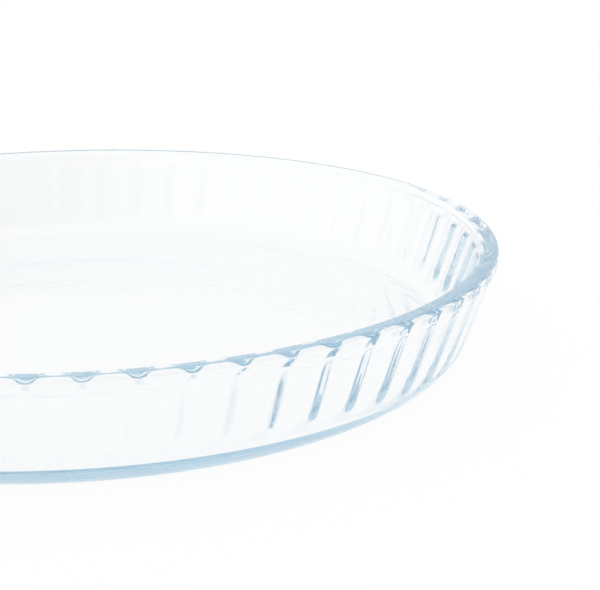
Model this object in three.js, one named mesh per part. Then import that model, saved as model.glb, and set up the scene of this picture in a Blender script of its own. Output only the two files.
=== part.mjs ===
// Round clear-glass flan dish: one pressing with a flat floor, a smooth heel, a fluted flaring wall
// and a rounded rim that the flutes run up over. Millimetres, +Z up, origin on the table under the
// middle of the dish.
import * as THREE from 'three';

// Driving dimensions
const rimRadius = 140;        // outside of the rim at a ridge
const height = 36;            // table to the top of the rim
const rimBand = 4;            // height of the rim that stands out from the wall
const rimStep = 0.4;          // rise of the step from the wall out to the rim
const rimShoulder = 2.8;      // rounding of the rim's outer top edge
const rimInnerEdge = 2.3;     // rounding of the rim's inner top edge
const roundable = 0.95;       // most of a face that its roundings may take up
const ridgeSetback = 0.6;     // how far the wall's ridges stay inside the rim
const wallFlareDeg = 19.7;    // lean of the wall from upright
const wallThickness = 5.4;    // across the wall at a ridge
const heelRadius = 14.5;      // outside rounding between foot and wall
const floorThickness = 6.3;   // table to the floor inside
const cornerRadius = 10;      // inside rounding between floor and wall
const footWidth = 14;         // flat ring that the dish stands on
const recessDepth = 0.4;      // underside raised inside the foot ring
const recessSlope = 40;       // width of the gentle slope into that recess
const fluteCount = 64;
const fluteDepthRim = 1.2;
const fluteDepthOutside = 0.9;
const fluteDepthInside = 0.6;
const fluteFade = 7.8;        // height above the heel in which the outside flutes fade in
const ridgeSharpness = 3;     // higher makes the ridges narrower
const stepsPerFlute = 4;

// Sizes that follow from them
const flare = THREE.MathUtils.degToRad(wallFlareDeg);
const wallTop = height - rimBand;
const ridgeRadius = (z) => rimRadius - ridgeSetback - (wallTop - z) * Math.tan(flare);
const insideRadius = (z) => ridgeRadius(z) - wallThickness / Math.cos(flare);
const heelTop = heelRadius * (1 - Math.sin(flare));
const footRadius = ridgeRadius(heelTop) - heelRadius * Math.cos(flare);
const cornerTop = floorThickness + cornerRadius * (1 - Math.sin(flare));
const floorRadius = insideRadius(cornerTop) - cornerRadius * Math.cos(flare);

// The rim's two roundings share its crest, and the outer one also keeps to the rim's edge
const crestWidth = rimRadius - insideRadius(height - rimInnerEdge);
const roundShare = Math.min(1, roundable * crestWidth / (rimShoulder + rimInnerEdge));
const shoulder = Math.min(roundShare * rimShoulder, roundable * (rimBand - rimStep));
const innerEdge = roundShare * rimInnerEdge;

// Half section of the glass, from the axis under the dish round to the axis on its floor.
// Each station is a radius, a height, how deep the flutes are cut there, and the face they are cut from.
const section = [];
function station(radius, z, cut = 0, face = radius) {
  section.push({ point: new THREE.Vector2(radius, z), cut, face });
}

function underside() {
  const slopeEnd = footRadius - footWidth;
  station(0, recessDepth);
  station(slopeEnd - recessSlope, recessDepth);
  station(slopeEnd, 0);
  station(footRadius, 0);
}

function heel() {
  const sweep = Math.PI / 2 - flare;
  for (const part of [0.33, 0.67, 1]) {
    const turn = part * sweep;
    station(footRadius + heelRadius * Math.sin(turn), heelRadius * (1 - Math.cos(turn)));
  }
}

function outsideWall() {
  for (const z of [heelTop + 0.4 * fluteFade, heelTop + fluteFade, wallTop]) {
    const depth = fluteDepthOutside * THREE.MathUtils.smoothstep(z, heelTop, heelTop + fluteFade);
    station(ridgeRadius(z), z, depth);
  }
}

function rimOutside() {
  station(rimRadius, wallTop + rimStep, fluteDepthRim);
  for (const part of [0, 0.35, 0.7, 1]) {
    const turn = part * Math.PI / 2;
    const radius = rimRadius - shoulder * (1 - Math.cos(turn));
    station(radius, height - shoulder * (1 - Math.sin(turn)), fluteDepthRim, rimRadius);
  }
}

function rimInside() {
  const middle = height - innerEdge;
  const centre = insideRadius(middle) + innerEdge;
  for (const part of [0, 0.5, 1]) {
    const turn = part * Math.PI / 2;
    station(centre - innerEdge * Math.sin(turn), middle + innerEdge * Math.cos(turn));
  }
}

function insideWall() {
  station(insideRadius(wallTop), wallTop, fluteDepthInside);
}

function insideCorner() {
  const sweep = Math.PI / 2 - flare;
  for (const part of [1, 0.5, 0]) {
    const turn = part * sweep;
    const radius = floorRadius + cornerRadius * Math.sin(turn);
    station(radius, floorThickness + cornerRadius * (1 - Math.cos(turn)), part * fluteDepthInside);
  }
  station(0, floorThickness);
}

// A flute is a wide scoop between two narrow ridges: nothing on a ridge, full depth half way across.
function scoop(angle) {
  const wave = (1 + Math.cos(angle * fluteCount)) / 2;
  return 1 - wave ** ridgeSharpness;
}

function fluteTheLathe(geometry) {
  const position = geometry.attributes.position;
  for (let index = 0; index < position.count; index += 1) {
    const { cut, face } = section[index % section.length];
    if (cut === 0) continue;
    const x = position.getX(index);
    const z = position.getZ(index);
    const radius = Math.hypot(x, z);
    const ratio = Math.min(radius, face - cut * scoop(Math.atan2(x, z))) / radius;
    position.setX(index, x * ratio);
    position.setZ(index, z * ratio);
  }
}

function makeDish() {
  underside();
  heel();
  outsideWall();
  rimOutside();
  rimInside();
  insideWall();
  insideCorner();
  const points = section.map(({ point }) => point);
  const geometry = new THREE.LatheGeometry(points, fluteCount * stepsPerFlute);
  fluteTheLathe(geometry);
  geometry.rotateX(Math.PI / 2);
  geometry.computeVertexNormals();
  return geometry;
}

const glass = new THREE.MeshStandardMaterial({ color: 0xdcebf0, roughness: 0.05, metalness: 0 });
glass.name = 'glass';

const dish = new THREE.Mesh(makeDish(), glass);
dish.name = 'dish';

const part = new THREE.Group();
part.name = 'flan_dish';
part.add(dish);

export default part;
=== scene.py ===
"""Looks of a round flan dish in clear pressed glass with flutes pressed into its inner wall."""

import math

import bpy
from bpy.props import FloatProperty, FloatVectorProperty, IntProperty, PointerProperty
from mathutils import Matrix, Vector


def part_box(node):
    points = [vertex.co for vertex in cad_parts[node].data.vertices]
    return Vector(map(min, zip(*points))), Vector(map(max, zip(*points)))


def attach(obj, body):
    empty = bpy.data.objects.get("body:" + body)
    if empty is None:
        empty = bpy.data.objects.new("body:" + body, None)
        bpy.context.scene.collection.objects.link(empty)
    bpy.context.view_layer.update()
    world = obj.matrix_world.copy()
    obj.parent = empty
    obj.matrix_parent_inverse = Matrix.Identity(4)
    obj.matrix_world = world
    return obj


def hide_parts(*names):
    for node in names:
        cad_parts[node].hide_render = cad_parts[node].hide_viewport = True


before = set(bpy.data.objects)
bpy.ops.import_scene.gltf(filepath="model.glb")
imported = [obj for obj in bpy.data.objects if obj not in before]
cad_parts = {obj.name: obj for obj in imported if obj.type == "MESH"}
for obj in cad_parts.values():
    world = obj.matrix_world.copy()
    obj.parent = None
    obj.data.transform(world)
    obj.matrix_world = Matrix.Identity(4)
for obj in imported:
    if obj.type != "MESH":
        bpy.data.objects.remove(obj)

bl_info = {
    "name": "Fluted Flan Dish",
    "version": (1, 0, 0),
    "blender": (4, 5, 0),
    "location": "View3D > Sidebar > Flan Dish",
    "description": "Makes a round fluted flan dish in clear pressed glass and its studio",
    "category": "Object",
}

CAD_LOW, CAD_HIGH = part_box("dish")
RIM_RADIUS = (CAD_HIGH.x - CAD_LOW.x) / 2
DISH_HEIGHT = CAD_HIGH.z
MM = 0.001

# Rows of faces along each run of the half section
RECESS_STEPS = 10
HEEL_STEPS = 12
WALL_STEPS = 5
LIP_STEPS = 3
EDGE_STEPS = 2
SHOULDER_STEPS = 14
INNER_EDGE_STEPS = 8
FLUTE_END_STEPS = 14
INSIDE_STEPS = 6
CORNER_STEPS = 10
SOFT_BEND = 0.2 * MM    # a row of faces this far from a bend keeps the flat beside it flat
LIP_START = 30          # degrees at which the lip's rounding leaves the wall
LIP_RISE = 1.5          # middle of that rounding above the wall, in roundings
FLUTE_END_REACH = 2     # fades below the flutes' upper ends that have the finer rows
MERGE_REACH = 0.001 * MM

# Mould ripple
RIPPLE_DETAIL = 1.0
RIPPLE_ROUGHNESS = 0.4

# Studio
WHITE = (1.0, 1.0, 1.0, 1.0)
GLASS_BOUNCES = 128
CAMERA_NEAR = 10 * MM
FLOOR_REACH = 30.0
FLOOR_DROP = 0.02 * MM  # keeps the floor just clear of the foot
FLOOR_WHITE = 0.94      # share of the floor that the camera sees as plain white
UNLIT_WAY = (0.75, -0.66, 0.0)
UNLIT_FULL = 0.75       # how far towards that way the studio is fully dim
UNLIT_END = -0.05       # and where it is white again


def linear(hex_colour):
    """An sRGB hex colour as linear red, green and blue."""
    parts = [int(hex_colour[i:i + 2], 16) / 255 for i in (1, 3, 5)]
    return [c / 12.92 if c <= 0.04045 else ((c + 0.055) / 1.055) ** 2.4 for c in parts]


def length(name, default, description):
    return FloatProperty(
        name=name, description=description, default=default, min=0.0, precision=5, unit="LENGTH"
    )


def angle(name, degrees, description):
    return FloatProperty(
        name=name, description=description, default=math.radians(degrees), unit="ROTATION"
    )


def colour(name, hex_colour, description):
    return FloatVectorProperty(
        name=name, description=description, default=linear(hex_colour), size=3,
        min=0.0, max=1.0, subtype="COLOR"
    )


class DishSizes(bpy.types.PropertyGroup):
    """Sizes of the glass dish."""

    rim_radius: length("Rim radius", RIM_RADIUS, "Outside radius of the rim")
    height: length("Height", DISH_HEIGHT, "Table to the top of the rim")
    rim_band: length("Rim band", 4.0 * MM, "Height of the smooth bead that stands out from the wall")
    rim_overhang: length("Rim overhang", 0.3 * MM, "How far the bead stands out from the wall")
    rim_shoulder: length("Rim shoulder", 1.6 * MM, "Rounding of the bead's outer top edge")
    rim_inner: length("Rim inner edge", 2.3 * MM, "Rounding of the bead's inner top edge")
    rim_lip: length("Rim lip", 0.25 * MM, "Rounding of the bead's lower edge")
    wall_flare: angle("Wall flare", 19.7, "Lean of the wall from upright")
    wall_thickness: length("Wall thickness", 6.24 * MM, "Across the plain wall above the flutes")
    heel_radius: length("Heel radius", 14.5 * MM, "Outside rounding between foot and wall")
    floor_thickness: length("Floor thickness", 6.3 * MM, "Table to the floor inside")
    corner_radius: length("Corner radius", 10 * MM, "Inside rounding between floor and wall")
    foot_width: length("Foot width", 14 * MM, "Flat ring that the dish stands on")
    recess_depth: length("Recess depth", 0.4 * MM, "Underside raised inside the foot ring")
    recess_slope: length("Recess slope", 40 * MM, "Width of the slope into the recess")
    flutes: IntProperty(name="Flutes", description="Flutes round the wall", default=60, min=3)
    flute_steps: IntProperty(
        name="Steps per flute", description="Columns of faces across one flute", default=16, min=4
    )
    flute_turn: angle("Flute turn", 0.75, "Turn of the first ridge from +X")
    flute_depth: length("Flute depth", 1.2 * MM, "Crest of a ridge to the middle of the flute beside it")
    scoop_share: FloatProperty(
        name="Scoop share", description="Share of that depth cut into the plain wall; the rest is ridge",
        default=0.7, min=0.0, max=1.0
    )
    flute_end: length("Flute end", 2.5 * MM, "Crest of the rim down to the upper ends of the flutes")
    flute_fade: length("Flute fade", 3.0 * MM, "Height in which the flutes fade out below that")
    flute_foot: length("Flute foot", 2.0 * MM, "Floor up to the lower ends of the flutes")
    ridge_sharpness: FloatProperty(
        name="Ridge sharpness", description="Higher makes the ridges narrower", default=1.5, min=0.5
    )


class GlassLook(bpy.types.PropertyGroup):
    """Finish of the glass."""

    tint: colour("Tint", "#82C9E3", "Colour of the light that a long way through the glass lets by")
    tint_strength: FloatProperty(
        name="Tint strength", description="Absorption for each metre of glass", default=3.1, min=0.0
    )
    ior: FloatProperty(
        name="Refraction", description="Index of refraction", default=1.473, min=1.0, max=2.0
    )
    ripple: length("Ripple height", 0.012 * MM, "Height of the faint ripple that the mould leaves")
    ripple_width: length("Ripple width", 9 * MM, "Width of that ripple")


class StudioLook(bpy.types.PropertyGroup):
    """Floor, light and camera."""

    floor: colour("Floor", "#FFFFFF", "Colour of the floor")
    dim: colour("Dim studio", "#4F7288", "Colour of the studio's unlit side, seen through the glass")
    distance: length("Camera distance", 554 * MM, "Camera to the middle of the foot")
    elevation: angle("Camera elevation", 18.13, "Height of the camera above the table as an angle")
    turn: angle("Camera turn", -7.91, "Turn of the camera to the left of the dish")
    tilt: angle("Camera tilt", 1.20, "Upward tilt of the camera from the middle of the foot")
    roll: angle("Camera roll", 2.66, "Roll of the camera about its own line of sight")
    lens: FloatProperty(
        name="Lens", description="Focal length on a 36 mm wide frame", default=98.6, min=1.0
    )


class FlanDish(bpy.types.PropertyGroup):
    """Everything that a user would change."""

    sizes: PointerProperty(type=DishSizes)
    glass: PointerProperty(type=GlassLook)
    studio: PointerProperty(type=StudioLook)


def add_node(tree, kind, inputs=None, **settings):
    """Adds a node, gives it its settings, and fills or links its inputs."""
    made = tree.nodes.new(kind)
    for name, value in settings.items():
        setattr(made, name, value)
    for key, value in (inputs or {}).items():
        if isinstance(value, bpy.types.NodeSocket):
            tree.links.new(value, made.inputs[key])
        else:
            made.inputs[key].default_value = value
    return made


def arc(centre, radius, start, end, count):
    """Points on an arc in the half section; 0 degrees points down and 90 points outwards."""
    turns = [math.radians(start + (end - start) * i / count) for i in range(count + 1)]
    return [
        (centre[0] + radius * math.sin(t), centre[1] - radius * math.cos(t)) for t in turns
    ]


def line(start, end, count):
    """Points on a straight run, without its first point."""
    return [
        tuple(a + (b - a) * i / count for a, b in zip(start, end)) for i in range(1, count + 1)
    ]


def smooth(low, high, value):
    """0 below low, 1 above high, and an easy change between."""
    t = min(1.0, max(0.0, (value - low) / (high - low)))
    return t * t * (3 - 2 * t)


def half_section(s):
    """The glass from the axis under the dish round to the axis on its floor.
    Each station is a radius, a height and how deep the flutes are there."""
    flare = math.degrees(s.wall_flare)
    lean = math.tan(s.wall_flare)
    wall_top = s.height - s.rim_band

    def outside(z):
        return s.rim_radius - s.rim_overhang - (wall_top - z) * lean

    def inside(z):
        return outside(z) - s.wall_thickness / math.cos(s.wall_flare)

    heel_top = s.heel_radius * (1 - math.sin(s.wall_flare))
    foot = outside(heel_top) - s.heel_radius * math.cos(s.wall_flare)
    corner_top = s.floor_thickness + s.corner_radius * (1 - math.sin(s.wall_flare))
    floor = inside(corner_top) - s.corner_radius * math.cos(s.wall_flare)
    flute_top = s.height - s.flute_end

    def plain(z):
        return 0.0

    def fluted(z):
        low = smooth(s.floor_thickness + s.flute_foot, corner_top + s.flute_foot, z)
        high = 1 - smooth(flute_top - s.flute_fade, flute_top, z)
        return s.flute_depth * low * high

    stations = []

    def add(points, depth=plain):
        stations.extend((r, z, depth(z)) for r, z in points)

    # Underside, with its shallow recess, and the heel
    recess_edge = foot - s.foot_width - s.recess_slope
    down = [i / RECESS_STEPS for i in range(1, RECESS_STEPS + 1)]
    add([(0, s.recess_depth), (recess_edge / 2, s.recess_depth)])
    add([(recess_edge - SOFT_BEND, s.recess_depth), (recess_edge, s.recess_depth)])
    add([(recess_edge + s.recess_slope * t, s.recess_depth * (1 - smooth(0, 1, t))) for t in down])
    add([(foot - s.foot_width + SOFT_BEND, 0), (foot - SOFT_BEND, 0), (foot, 0)])
    add(arc((foot, s.heel_radius), s.heel_radius, 0, 90 - flare, HEEL_STEPS)[1:])

    # Plain outside and the bead of the rim
    edge = s.rim_radius
    lip_middle = (edge - s.rim_lip, wall_top + LIP_RISE * s.rim_lip)
    shoulder = (edge - s.rim_shoulder, s.height - s.rim_shoulder)
    add(line((outside(heel_top), heel_top), (outside(wall_top), wall_top), WALL_STEPS))
    add(arc(lip_middle, s.rim_lip, LIP_START, 90, LIP_STEPS))
    add(line((edge, lip_middle[1]), (edge, shoulder[1]), EDGE_STEPS))
    add(arc(shoulder, s.rim_shoulder, 90, 180, SHOULDER_STEPS)[1:])

    # Inside, from the crest down the flutes to the floor
    inner = s.height - s.rim_inner
    inner_edge = arc((inside(inner) + s.rim_inner, inner), s.rim_inner, 180, 270, INNER_EDGE_STEPS)
    below = flute_top - FLUTE_END_REACH * s.flute_fade
    corner = (floor, s.floor_thickness + s.corner_radius)
    add(inner_edge, fluted)
    add(line(inner_edge[-1], (inside(below), below), FLUTE_END_STEPS), fluted)
    add(line((inside(below), below), (inside(corner_top), corner_top), INSIDE_STEPS), fluted)
    add(arc(corner, s.corner_radius, 90 - flare, 0, CORNER_STEPS)[1:], fluted)
    add([(r, s.floor_thickness) for r in (floor - SOFT_BEND, floor / 2, 0)])
    return stations


def fluted_turning_tree(glass):
    """Geometry Nodes: turns a half section round the axis and cuts the flutes into it."""
    tree = bpy.data.node_groups.new("fluted_turning", "GeometryNodeTree")
    sides = tree.interface
    sides.new_socket("Half section", in_out="INPUT", socket_type="NodeSocketGeometry")
    for name in ("Stations", "Flutes", "Steps per flute"):
        sides.new_socket(name, in_out="INPUT", socket_type="NodeSocketInt")
    for name in ("Flute turn", "Scoop share", "Ridge sharpness"):
        sides.new_socket(name, in_out="INPUT", socket_type="NodeSocketFloat")
    sides.new_socket("Dish", in_out="OUTPUT", socket_type="NodeSocketGeometry")
    given = add_node(tree, "NodeGroupInput").outputs

    def maths(operation, *values):
        made = add_node(tree, "ShaderNodeMath", dict(enumerate(values)), operation=operation)
        return made.outputs[0]

    # A flat grid: one column of faces for each step round the dish, one row for each station
    columns = maths("MULTIPLY", given["Flutes"], given["Steps per flute"])
    grid = add_node(tree, "GeometryNodeMeshGrid", {
        "Size X": 1.0, "Size Y": 1.0,
        "Vertices X": maths("ADD", columns, 1.0), "Vertices Y": given["Stations"],
    })
    position = add_node(tree, "GeometryNodeInputPosition").outputs[0]
    place = add_node(tree, "ShaderNodeSeparateXYZ", {0: position})
    round_share = maths("ADD", place.outputs["X"], 0.5)
    up_share = maths("ADD", place.outputs["Y"], 0.5)
    index = maths("ROUND", maths("MULTIPLY", up_share, maths("SUBTRACT", given["Stations"], 1.0)))

    # The station's radius and height, and how deep the flutes are there
    where = add_node(tree, "GeometryNodeSampleIndex", {
        "Geometry": given["Half section"], "Index": index, "Value": position,
    }, data_type="FLOAT_VECTOR")
    named = add_node(tree, "GeometryNodeInputNamedAttribute", {"Name": "flute"}, data_type="FLOAT")
    depth = add_node(tree, "GeometryNodeSampleIndex", {
        "Geometry": given["Half section"], "Index": index, "Value": named.outputs["Attribute"],
    }, data_type="FLOAT").outputs[0]
    half = add_node(tree, "ShaderNodeSeparateXYZ", {0: where.outputs[0]})

    # The crest is 1 on a ridge and falls smoothly to 0 in the middle of the flute beside it
    turn = maths("MULTIPLY", round_share, 2 * math.pi)
    from_ridge = maths("SUBTRACT", turn, given["Flute turn"])
    wave = maths("COSINE", maths("MULTIPLY", from_ridge, given["Flutes"]))
    crest = maths("POWER", maths("MULTIPLY", maths("ADD", wave, 1.0), 0.5), given["Ridge sharpness"])
    cut = maths("MULTIPLY", depth, maths("SUBTRACT", given["Scoop share"], crest))
    radius = maths("ADD", half.outputs["X"], cut)
    around = add_node(tree, "ShaderNodeCombineXYZ", {
        "X": maths("MULTIPLY", radius, maths("COSINE", turn)),
        "Y": maths("MULTIPLY", radius, maths("SINE", turn)),
        "Z": half.outputs["Z"],
    })
    turned = add_node(tree, "GeometryNodeSetPosition", {
        "Geometry": grid.outputs[0], "Position": around.outputs[0],
    })
    closed = add_node(tree, "GeometryNodeMergeByDistance", {
        "Geometry": turned.outputs[0], "Distance": MERGE_REACH,
    })
    shaded = add_node(tree, "GeometryNodeSetShadeSmooth", {
        "Geometry": closed.outputs[0], "Shade Smooth": True,
    })
    real = add_node(tree, "GeometryNodeRealizeInstances", {"Geometry": shaded.outputs[0]})
    finished = add_node(tree, "GeometryNodeSetMaterial", {
        "Geometry": real.outputs[0], "Material": glass,
    })
    add_node(tree, "NodeGroupOutput", {"Dish": finished.outputs[0]})
    return tree


def pressed_glass(look):
    """Clear borosilicate glass, pressed in a mould and fire-polished: bright and nearly colourless
    through the wall, pale blue where light runs a long way inside it, with a faint mould ripple."""
    glass = bpy.data.materials.new("clear_pressed_borosilicate_glass")
    glass.use_nodes = True
    tree = glass.node_tree
    tree.nodes.clear()
    place = add_node(tree, "ShaderNodeTexCoord").outputs["Object"]
    ripple = add_node(tree, "ShaderNodeTexNoise", {
        "Vector": place, "Scale": 1 / look.ripple_width,
        "Detail": RIPPLE_DETAIL, "Roughness": RIPPLE_ROUGHNESS,
    })
    bump = add_node(tree, "ShaderNodeBump", {
        "Height": ripple.outputs["Fac"], "Strength": 1.0, "Distance": look.ripple,
    })
    surface = add_node(tree, "ShaderNodeBsdfPrincipled", {
        "Base Color": WHITE, "Roughness": 0.0, "IOR": look.ior,
        "Transmission Weight": 1.0, "Normal": bump.outputs["Normal"],
    })
    inside = add_node(tree, "ShaderNodeVolumeAbsorption", {
        "Color": (*look.tint, 1.0), "Density": look.tint_strength,
    })
    add_node(tree, "ShaderNodeOutputMaterial", {
        "Surface": surface.outputs[0], "Volume": inside.outputs[0],
    })
    return glass


def plain_mesh(name, source, tree, values):
    """The result of a Geometry Nodes tree on a source mesh, as an object with a plain mesh."""
    maker = bpy.data.objects.new(name + "_maker", source)
    bpy.context.scene.collection.objects.link(maker)
    step = maker.modifiers.new("Shape", "NODES")
    step.node_group = tree
    for item in tree.interface.items_tree:
        if item.in_out == "INPUT" and item.name in values:
            step[item.identifier] = values[item.name]
    seen = maker.evaluated_get(bpy.context.evaluated_depsgraph_get())
    mesh = bpy.data.meshes.new_from_object(seen)
    maker.modifiers.remove(step)
    bpy.data.objects.remove(maker)
    if not mesh.polygons:
        raise RuntimeError(f"{name} came out with no faces")
    mesh.name = name
    piece = bpy.data.objects.new(name, mesh)
    bpy.context.scene.collection.objects.link(piece)
    return piece


class FLANDISH_OT_dish(bpy.types.Operator):
    """Turns the fluted dish from its half section and gives it its glass"""

    bl_idname = "flan_dish.dish"
    bl_label = "Glass Dish"

    def execute(self, context):
        sizes = context.scene.flan_dish.sizes
        stations = half_section(sizes)
        section = bpy.data.meshes.new("half_section")
        section.from_pydata([(station[0], 0.0, station[1]) for station in stations], [], [])
        section.attributes.new("flute", "FLOAT", "POINT").data.foreach_set(
            "value", [station[2] for station in stations]
        )
        glass = pressed_glass(context.scene.flan_dish.glass)
        dish = plain_mesh("dish_glass", section, fluted_turning_tree(glass), {
            "Stations": len(stations), "Flutes": sizes.flutes,
            "Steps per flute": sizes.flute_steps, "Flute turn": sizes.flute_turn,
            "Scoop share": sizes.scoop_share, "Ridge sharpness": sizes.ridge_sharpness,
        })
        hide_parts("dish")
        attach(dish, "root")
        return {"FINISHED"}


def white_floor(look):
    """Matt white studio paper: almost white to the camera, and it keeps a soft shadow."""
    paper = bpy.data.materials.new("matt_white_studio_paper")
    paper.use_nodes = True
    tree = paper.node_tree
    tree.nodes.clear()
    path = add_node(tree, "ShaderNodeLightPath").outputs
    direct = add_node(tree, "ShaderNodeMath", {
        0: path["Is Camera Ray"], 1: path["Is Transmission Ray"],
    }, operation="MAXIMUM")
    seen = add_node(tree, "ShaderNodeMath", {
        0: direct.outputs[0], 1: path["Is Glossy Ray"],
    }, operation="MAXIMUM")
    share = add_node(tree, "ShaderNodeMath", {0: seen.outputs[0], 1: FLOOR_WHITE}, operation="MULTIPLY")
    lit = add_node(tree, "ShaderNodeBsdfDiffuse", {"Color": (*look.floor, 1.0)})
    white = add_node(tree, "ShaderNodeEmission", {"Color": WHITE, "Strength": 1.0})
    mixed = add_node(tree, "ShaderNodeMixShader", {
        "Fac": share.outputs[0], 1: lit.outputs[0], 2: white.outputs[0],
    })
    add_node(tree, "ShaderNodeOutputMaterial", {"Surface": mixed.outputs[0]})
    return paper


def studio_world(look):
    """White studio round the dish. Glass also sees the studio's unlit side, which draws its edges."""
    world = bpy.data.worlds.new("white_studio")
    world.use_nodes = True
    tree = world.node_tree
    tree.nodes.clear()
    path = add_node(tree, "ShaderNodeLightPath").outputs
    compass = add_node(tree, "ShaderNodeTexCoord").outputs["Generated"]
    way = add_node(tree, "ShaderNodeVectorMath", {0: compass, 1: UNLIT_WAY}, operation="DOT_PRODUCT")
    bright = add_node(tree, "ShaderNodeMapRange", {
        "Value": way.outputs["Value"], "From Min": UNLIT_FULL, "From Max": UNLIT_END,
        "To Min": 0.0, "To Max": 1.0,
    }, interpolation_type="SMOOTHSTEP")
    studio = add_node(tree, "ShaderNodeMix", {
        "Factor": bright.outputs[0], "A": (*look.dim, 1.0), "B": WHITE,
    }, data_type="RGBA")
    through = add_node(tree, "ShaderNodeMath", {
        0: path["Is Transmission Ray"], 1: path["Is Glossy Ray"],
    }, operation="MAXIMUM")
    seen = add_node(tree, "ShaderNodeMix", {
        "Factor": through.outputs[0], "A": WHITE, "B": studio.outputs["Result"],
    }, data_type="RGBA")
    back = add_node(tree, "ShaderNodeBackground", {"Color": seen.outputs["Result"], "Strength": 1.0})
    add_node(tree, "ShaderNodeOutputWorld", {"Surface": back.outputs[0]})
    return world


def photograph_camera(look):
    """A camera that stands where the photograph was taken from."""
    rise, turn, tilt, roll = look.elevation, look.turn, look.tilt, look.roll
    ahead = Vector((0, math.cos(rise), -math.sin(rise)))
    right = Vector((1, 0, 0))
    up = Vector((0, math.sin(rise), math.cos(rise)))
    ahead, right = (
        ahead * math.cos(turn) - right * math.sin(turn),
        right * math.cos(turn) + ahead * math.sin(turn),
    )
    ahead, up = (
        ahead * math.cos(tilt) + up * math.sin(tilt),
        up * math.cos(tilt) - ahead * math.sin(tilt),
    )
    right, up = (
        right * math.cos(roll) - up * math.sin(roll),
        up * math.cos(roll) + right * math.sin(roll),
    )
    camera = bpy.data.objects.new("camera", bpy.data.cameras.new("camera"))
    camera.data.lens = look.lens
    camera.data.clip_start = CAMERA_NEAR
    spot = Vector((0, -math.cos(rise), math.sin(rise))) * look.distance
    camera.matrix_world = Matrix.Translation(spot) @ Matrix((right, up, -ahead)).transposed().to_4x4()
    return camera


class FLANDISH_OT_stage(bpy.types.Operator):
    """Adds the white floor, the studio's soft light and the camera"""

    bl_idname = "flan_dish.stage"
    bl_label = "Studio"

    def execute(self, context):
        scene = context.scene
        look = scene.flan_dish.studio
        ways = ((-1, -1), (1, -1), (1, 1), (-1, 1))
        mesh = bpy.data.meshes.new("studio_floor")
        mesh.from_pydata([(x * FLOOR_REACH, y * FLOOR_REACH, 0) for x, y in ways], [], [(0, 1, 2, 3)])
        mesh.materials.append(white_floor(look))
        floor = bpy.data.objects.new("studio_floor", mesh)
        floor.location.z = -FLOOR_DROP
        scene.collection.objects.link(floor)
        scene.world = studio_world(look)
        camera = photograph_camera(look)
        scene.collection.objects.link(camera)
        scene.camera = camera
        scene.view_settings.view_transform = "Standard"
        for kind in ("max_bounces", "glossy_bounces", "transmission_bounces"):
            setattr(scene.cycles, kind, GLASS_BOUNCES)
        return {"FINISHED"}


class FLANDISH_PT_sidebar(bpy.types.Panel):
    """Lists the pieces of the flan dish"""

    bl_idname = "FLANDISH_PT_sidebar"
    bl_label = "Flan Dish"
    bl_space_type = "VIEW_3D"
    bl_region_type = "UI"
    bl_category = "Flan Dish"

    def draw(self, context):
        layout = self.layout
        for operator in (FLANDISH_OT_dish, FLANDISH_OT_stage):
            layout.operator(operator.bl_idname)
        for group in (
            context.scene.flan_dish.sizes, context.scene.flan_dish.glass, context.scene.flan_dish.studio
        ):
            box = layout.box()
            for name in group.bl_rna.properties.keys():
                if name not in ("rna_type", "name"):
                    box.prop(group, name)


CLASSES = (
    DishSizes, GlassLook, StudioLook, FlanDish, FLANDISH_OT_dish, FLANDISH_OT_stage, FLANDISH_PT_sidebar,
)


def register():
    for made in CLASSES:
        bpy.utils.register_class(made)
    bpy.types.Scene.flan_dish = PointerProperty(type=FlanDish)


def unregister():
    del bpy.types.Scene.flan_dish
    for made in reversed(CLASSES):
        bpy.utils.unregister_class(made)


def main():
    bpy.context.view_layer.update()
    register()
    bpy.ops.flan_dish.dish()
    bpy.ops.flan_dish.stage()


if __name__ == "__main__":
    main()
